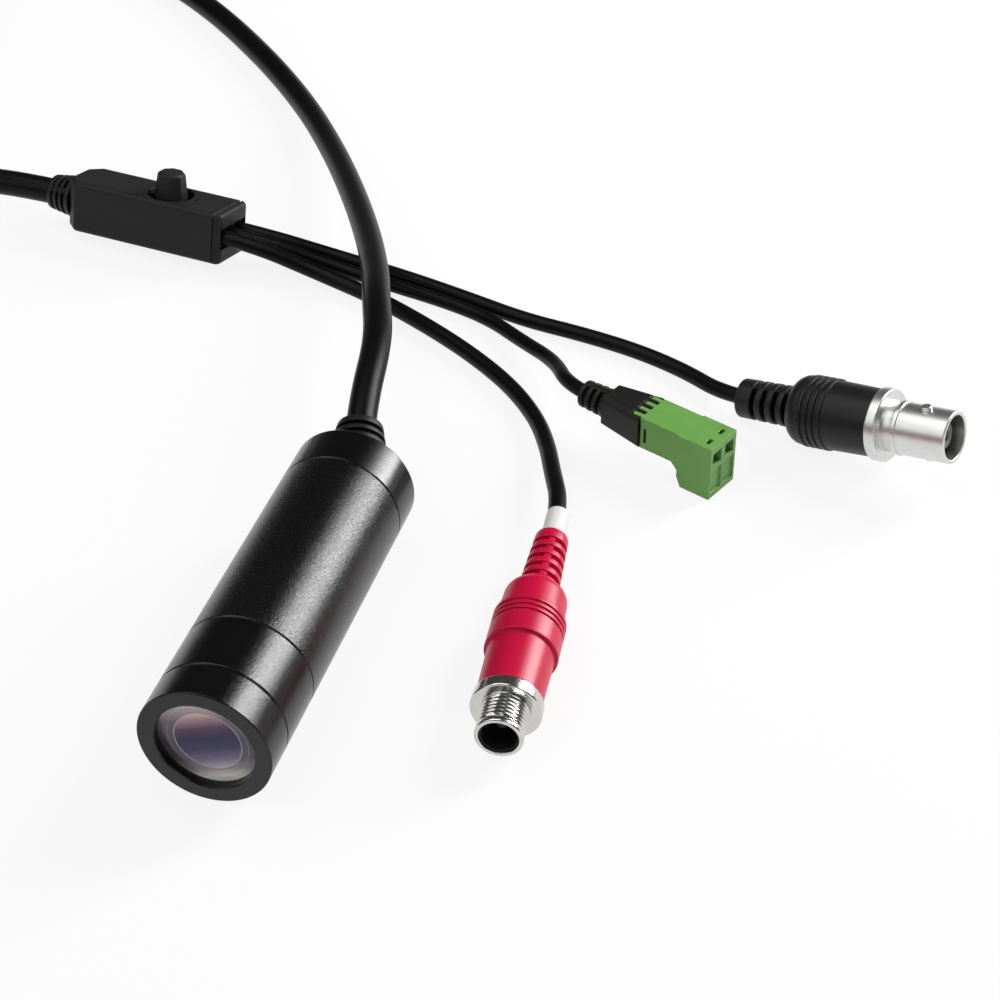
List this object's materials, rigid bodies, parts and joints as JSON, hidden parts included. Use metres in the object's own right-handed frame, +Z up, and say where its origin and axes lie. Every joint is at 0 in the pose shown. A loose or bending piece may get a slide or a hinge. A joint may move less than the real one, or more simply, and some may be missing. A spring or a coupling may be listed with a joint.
{
  "type": "lipstick camera",
  "caption": "Slim black cylindrical video camera on a cable with an in-line joystick control box and video, data and power leads.",
  "frame": {"origin": "on the floor under the middle of the camera's barrel", "axes": "+Z up, the barrel along Y with its window facing -Y, +X to the right seen from behind the camera"},
  "size_m": [0.33, 0.2712, 0.022],
  "materials": {
    "black_anodised": "satin",
    "holder_black": "matte",
    "seal_rubber": "matte",
    "optical_glass": "gloss",
    "board_green": "satin",
    "chip_black": "satin",
    "steel": "satin",
    "boot_rubber": "matte",
    "cable_black": "satin",
    "box_black": "satin",
    "nickel": "gloss",
    "contact_gold": "gloss",
    "insulator_white": "satin",
    "crimson": "satin",
    "label_white": "matte",
    "plug_green": "satin"
  },
  "bodies": {
    "camera": {"cap_seal": "seal_rubber", "lens_housing": "black_anodised", "body_seal": "seal_rubber", "main_tube": "black_anodised", "rear_seal": "seal_rubber", "rear_cap": "black_anodised", "lens_barrel": "black_anodised", "lens_front_element": "optical_glass", "lens_front_ring": "black_anodised", "lens_rear_element": "optical_glass", "lens_lock_ring": "black_anodised", "lens_holder": "holder_black", "ir_filter": "optical_glass", "image_sensor": "optical_glass", "sensor_board": "board_green", "board_screws": "steel", "main_board": "board_green", "board_connector": "chip_black", "processor_chip": "chip_black", "board_parts": "chip_black", "cable_header": "chip_black", "rear_boot": "boot_rubber", "main_cable_camera_side": "cable_black", "main_cable_coil": "cable_black", "coil_tie": "cable_black", "main_cable_box_side": "cable_black", "control_box_cover": "box_black", "control_box_base": "box_black", "box_strain_relief": "boot_rubber", "lead_grommet": "seal_rubber", "control_board": "board_green", "joystick_switch": "chip_black", "video_cable": "cable_black", "video_boot": "boot_rubber", "video_shell": "nickel", "video_insulator": "insulator_white", "video_contact": "contact_gold", "power_cable": "cable_black", "label_sleeve": "label_white", "power_boot": "crimson", "power_shell": "nickel", "power_insulator": "holder_black", "power_pin": "nickel", "power_spring": "steel", "data_cable": "cable_black", "data_boot": "boot_rubber", "data_pins": "nickel"},
    "window": {"window_glass": "optical_glass", "window_gasket": "seal_rubber"},
    "cap": {"front_cap": "black_anodised", "window_retainer": "black_anodised"},
    "gimbal": {"joystick_gimbal": "holder_black"},
    "stem": {"joystick_stem": "steel"},
    "knob": {"joystick_knob": "box_black"},
    "plug": {"data_plug": "plug_green", "plug_contacts": "contact_gold"},
    "screw_left": {"clamp_screw_left": "steel"},
    "cage_left": {"clamp_cage_left": "steel"},
    "screw_right": {"clamp_screw_right": "steel"},
    "cage_right": {"clamp_cage_right": "steel"}
  },
  "joints": [
    {"name": "window_follow", "type": "slide", "parent": "camera", "child": "window", "axis": [0, -1, 0], "range_m": [0, 0.00255]},
    {"name": "cap_unscrew", "type": "hinge", "parent": "window", "child": "cap", "pos_m": [0, -0.0311, 0.011], "axis": [0, -1, 0], "range_deg": [0, 1224.05]},
    {"name": "joystick_tilt_along", "type": "hinge", "parent": "camera", "child": "gimbal", "pos_m": [-0.06829, 0.11362, 0.00741], "axis": [-0.1187, -0.9671, 0.225], "range_deg": [-6, 6], "stiffness_Nm_per_rad": 0.02},
    {"name": "joystick_tilt_across", "type": "hinge", "parent": "gimbal", "child": "stem", "pos_m": [-0.06829, 0.11362, 0.00741], "axis": [0.9925, -0.1219, 0], "range_deg": [-6, 6], "stiffness_Nm_per_rad": 0.02},
    {"name": "joystick_press", "type": "slide", "parent": "stem", "child": "knob", "axis": [-0.0274, -0.2233, -0.9744], "range_m": [0, 0.0004], "stiffness_N_per_m": 500},
    {"name": "plug_pull", "type": "slide", "parent": "camera", "child": "plug", "axis": [0.9272, -0.3746, 0], "range_m": [0, 0.01]},
    {"name": "clamp_turn_left", "type": "hinge", "parent": "plug", "child": "screw_left", "pos_m": [0.05579, 0.06748, 0.003], "axis": [0, 0, 1], "range_deg": [0, 1080.05]},
    {"name": "clamp_rise_left", "type": "slide", "parent": "plug", "child": "cage_left", "axis": [0, 0, -1], "range_m": [0, 0.0012]},
    {"name": "clamp_turn_right", "type": "hinge", "parent": "plug", "child": "screw_right", "pos_m": [0.05436, 0.06394, 0.003], "axis": [0, 0, 1], "range_deg": [0, 1080.05]},
    {"name": "clamp_rise_right", "type": "slide", "parent": "plug", "child": "cage_right", "axis": [0, 0, -1], "range_m": [0, 0.0012]}
  ],
  "couplings": [
    {"joint": "cap_unscrew", "follows": "window_follow", "rad_per_m": 8377.6},
    {"joint": "clamp_turn_left", "follows": "clamp_rise_left", "rad_per_m": 15708},
    {"joint": "clamp_turn_right", "follows": "clamp_rise_right", "rad_per_m": 15708}
  ]
}
